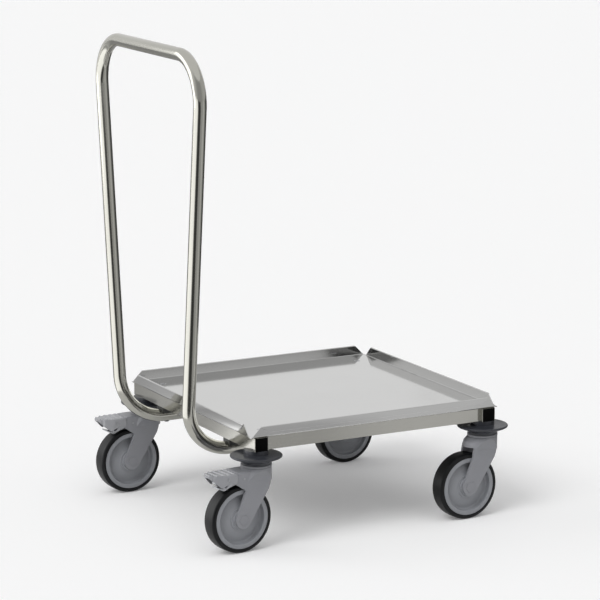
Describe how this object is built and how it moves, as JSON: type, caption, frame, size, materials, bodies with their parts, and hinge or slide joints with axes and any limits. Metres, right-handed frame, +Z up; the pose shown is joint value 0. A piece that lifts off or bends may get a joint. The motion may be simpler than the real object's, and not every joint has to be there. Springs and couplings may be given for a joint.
{
  "type": "dish rack dolly",
  "caption": "Low square dolly for dish racks: a rimmed sheet metal deck on a tube frame with swivel castors, bumper discs, foot brakes on the handle side and a tall bent tube push handle.",
  "frame": {"origin": "centre of the deck's upper face, between the rims", "axes": "+Z up; the handle stands on the -X side; Y runs along the handle's top bar"},
  "size_m": [0.6294, 0.569, 0.9015],
  "materials": {
    "satin_steel": "satin stainless sheet and tube with a fine grain",
    "zinc_steel": "bright zinc plated fasteners and race rings",
    "fork_grey": "moulded mid grey polyamide, satin",
    "dark_grey": "moulded dark grey polyamide, satin",
    "rim_grey": "moulded light grey polypropylene, satin",
    "black_plastic": "matt black moulded plastic",
    "tyre_rubber": "dark grey elastic rubber tyre"
  },
  "bodies": {
    "frame": {"deck_tray": "satin_steel", "rim_front": "satin_steel", "rim_rear": "satin_steel", "rim_left": "satin_steel", "rim_right": "satin_steel", "side_tube_left": "satin_steel", "side_tube_right": "satin_steel", "cross_tube_front": "satin_steel", "cross_tube_rear": "satin_steel", "corner_gussets": "satin_steel", "tube_end_plugs": "black_plastic", "deck_bolts": "zinc_steel", "deck_washers": "zinc_steel", "deck_nuts": "zinc_steel", "handle_tube": "satin_steel", "handle_end_plugs": "black_plastic", "handle_saddles": "black_plastic", "handle_bolts": "zinc_steel", "handle_nuts": "zinc_steel", "stem_inserts": "zinc_steel", "castor_stems": "zinc_steel", "stem_washers": "zinc_steel", "bumper_disc_front_left": "dark_grey", "swivel_race_front_left": "zinc_steel", "bumper_disc_front_right": "dark_grey", "swivel_race_front_right": "zinc_steel", "bumper_disc_rear_left": "dark_grey", "swivel_race_rear_left": "zinc_steel", "bumper_disc_rear_right": "dark_grey", "swivel_race_rear_right": "zinc_steel"},
    "castor_fork_front_left": {"fork_front_left": "fork_grey", "axle_front_left": "zinc_steel", "pedal_pin_front_left": "zinc_steel", "lever_pin_front_left": "zinc_steel"},
    "castor_wheel_front_left": {"wheel_core_front_left": "rim_grey", "tyre_front_left": "tyre_rubber", "wheel_bush_front_left": "zinc_steel"},
    "pedal_front_left": {"brake_pedal_front_left": "fork_grey"},
    "lever_front_left": {"brake_lever_front_left": "black_plastic"},
    "castor_fork_front_right": {"fork_front_right": "fork_grey", "axle_front_right": "zinc_steel"},
    "castor_wheel_front_right": {"wheel_core_front_right": "rim_grey", "tyre_front_right": "tyre_rubber", "wheel_bush_front_right": "zinc_steel"},
    "castor_fork_rear_left": {"fork_rear_left": "fork_grey", "axle_rear_left": "zinc_steel", "pedal_pin_rear_left": "zinc_steel", "lever_pin_rear_left": "zinc_steel"},
    "castor_wheel_rear_left": {"wheel_core_rear_left": "rim_grey", "tyre_rear_left": "tyre_rubber", "wheel_bush_rear_left": "zinc_steel"},
    "pedal_rear_left": {"brake_pedal_rear_left": "fork_grey"},
    "lever_rear_left": {"brake_lever_rear_left": "black_plastic"},
    "castor_fork_rear_right": {"fork_rear_right": "fork_grey", "axle_rear_right": "zinc_steel"},
    "castor_wheel_rear_right": {"wheel_core_rear_right": "rim_grey", "tyre_rear_right": "tyre_rubber", "wheel_bush_rear_right": "zinc_steel"}
  },
  "joints": [
    {"name": "swivel_front_left", "type": "hinge", "parent": "frame", "child": "castor_fork_front_left", "pos_m": [-0.237, -0.237, -0.0574], "axis": [0, 0, 1], "continuous": true},
    {"name": "roll_front_left", "type": "hinge", "parent": "castor_fork_front_left", "child": "castor_wheel_front_left", "pos_m": [-0.27682, -0.24083, -0.148], "axis": [0.0958, -0.9954, 0], "continuous": true},
    {"name": "press_pedal_front_left", "type": "hinge", "parent": "castor_fork_front_left", "child": "pedal_front_left", "pos_m": [-0.30767, -0.2438, -0.07], "axis": [0.0958, -0.9954, 0], "range_deg": [0, 15]},
    {"name": "apply_brake_front_left", "type": "hinge", "parent": "castor_fork_front_left", "child": "lever_front_left", "pos_m": [-0.27532, -0.24069, -0.0717], "axis": [0.0958, -0.9954, 0], "range_deg": [0, 4]},
    {"name": "swivel_front_right", "type": "hinge", "parent": "frame", "child": "castor_fork_front_right", "pos_m": [0.237, -0.237, -0.0574], "axis": [0, 0, 1], "continuous": true},
    {"name": "roll_front_right", "type": "hinge", "parent": "castor_fork_front_right", "child": "castor_wheel_front_right", "pos_m": [0.19706, -0.23909, -0.148], "axis": [0.0523, -0.9986, 0], "continuous": true},
    {"name": "swivel_rear_left", "type": "hinge", "parent": "frame", "child": "castor_fork_rear_left", "pos_m": [-0.237, 0.237, -0.0574], "axis": [0, 0, 1], "continuous": true},
    {"name": "roll_rear_left", "type": "hinge", "parent": "castor_fork_rear_left", "child": "castor_wheel_rear_left", "pos_m": [-0.27698, 0.2356, -0.148], "axis": [0.0349, -0.9994, 0], "continuous": true},
    {"name": "press_pedal_rear_left", "type": "hinge", "parent": "castor_fork_rear_left", "child": "pedal_rear_left", "pos_m": [-0.30796, 0.23452, -0.07], "axis": [0.0349, -0.9994, 0], "range_deg": [0, 15]},
    {"name": "apply_brake_rear_left", "type": "hinge", "parent": "castor_fork_rear_left", "child": "lever_rear_left", "pos_m": [-0.27548, 0.23566, -0.0717], "axis": [0.0349, -0.9994, 0], "range_deg": [0, 4]},
    {"name": "swivel_rear_right", "type": "hinge", "parent": "frame", "child": "castor_fork_rear_right", "pos_m": [0.237, 0.237, -0.0574], "axis": [0, 0, 1], "continuous": true},
    {"name": "roll_rear_right", "type": "hinge", "parent": "castor_fork_rear_right", "child": "castor_wheel_rear_right", "pos_m": [0.19706, 0.23491, -0.148], "axis": [0.0523, -0.9986, 0], "continuous": true}
  ],
  "couplings": [
    {"joint": "apply_brake_front_left", "follows": "press_pedal_front_left", "ratio": 0.26667},
    {"joint": "apply_brake_rear_left", "follows": "press_pedal_rear_left", "ratio": 0.26667}
  ]
}
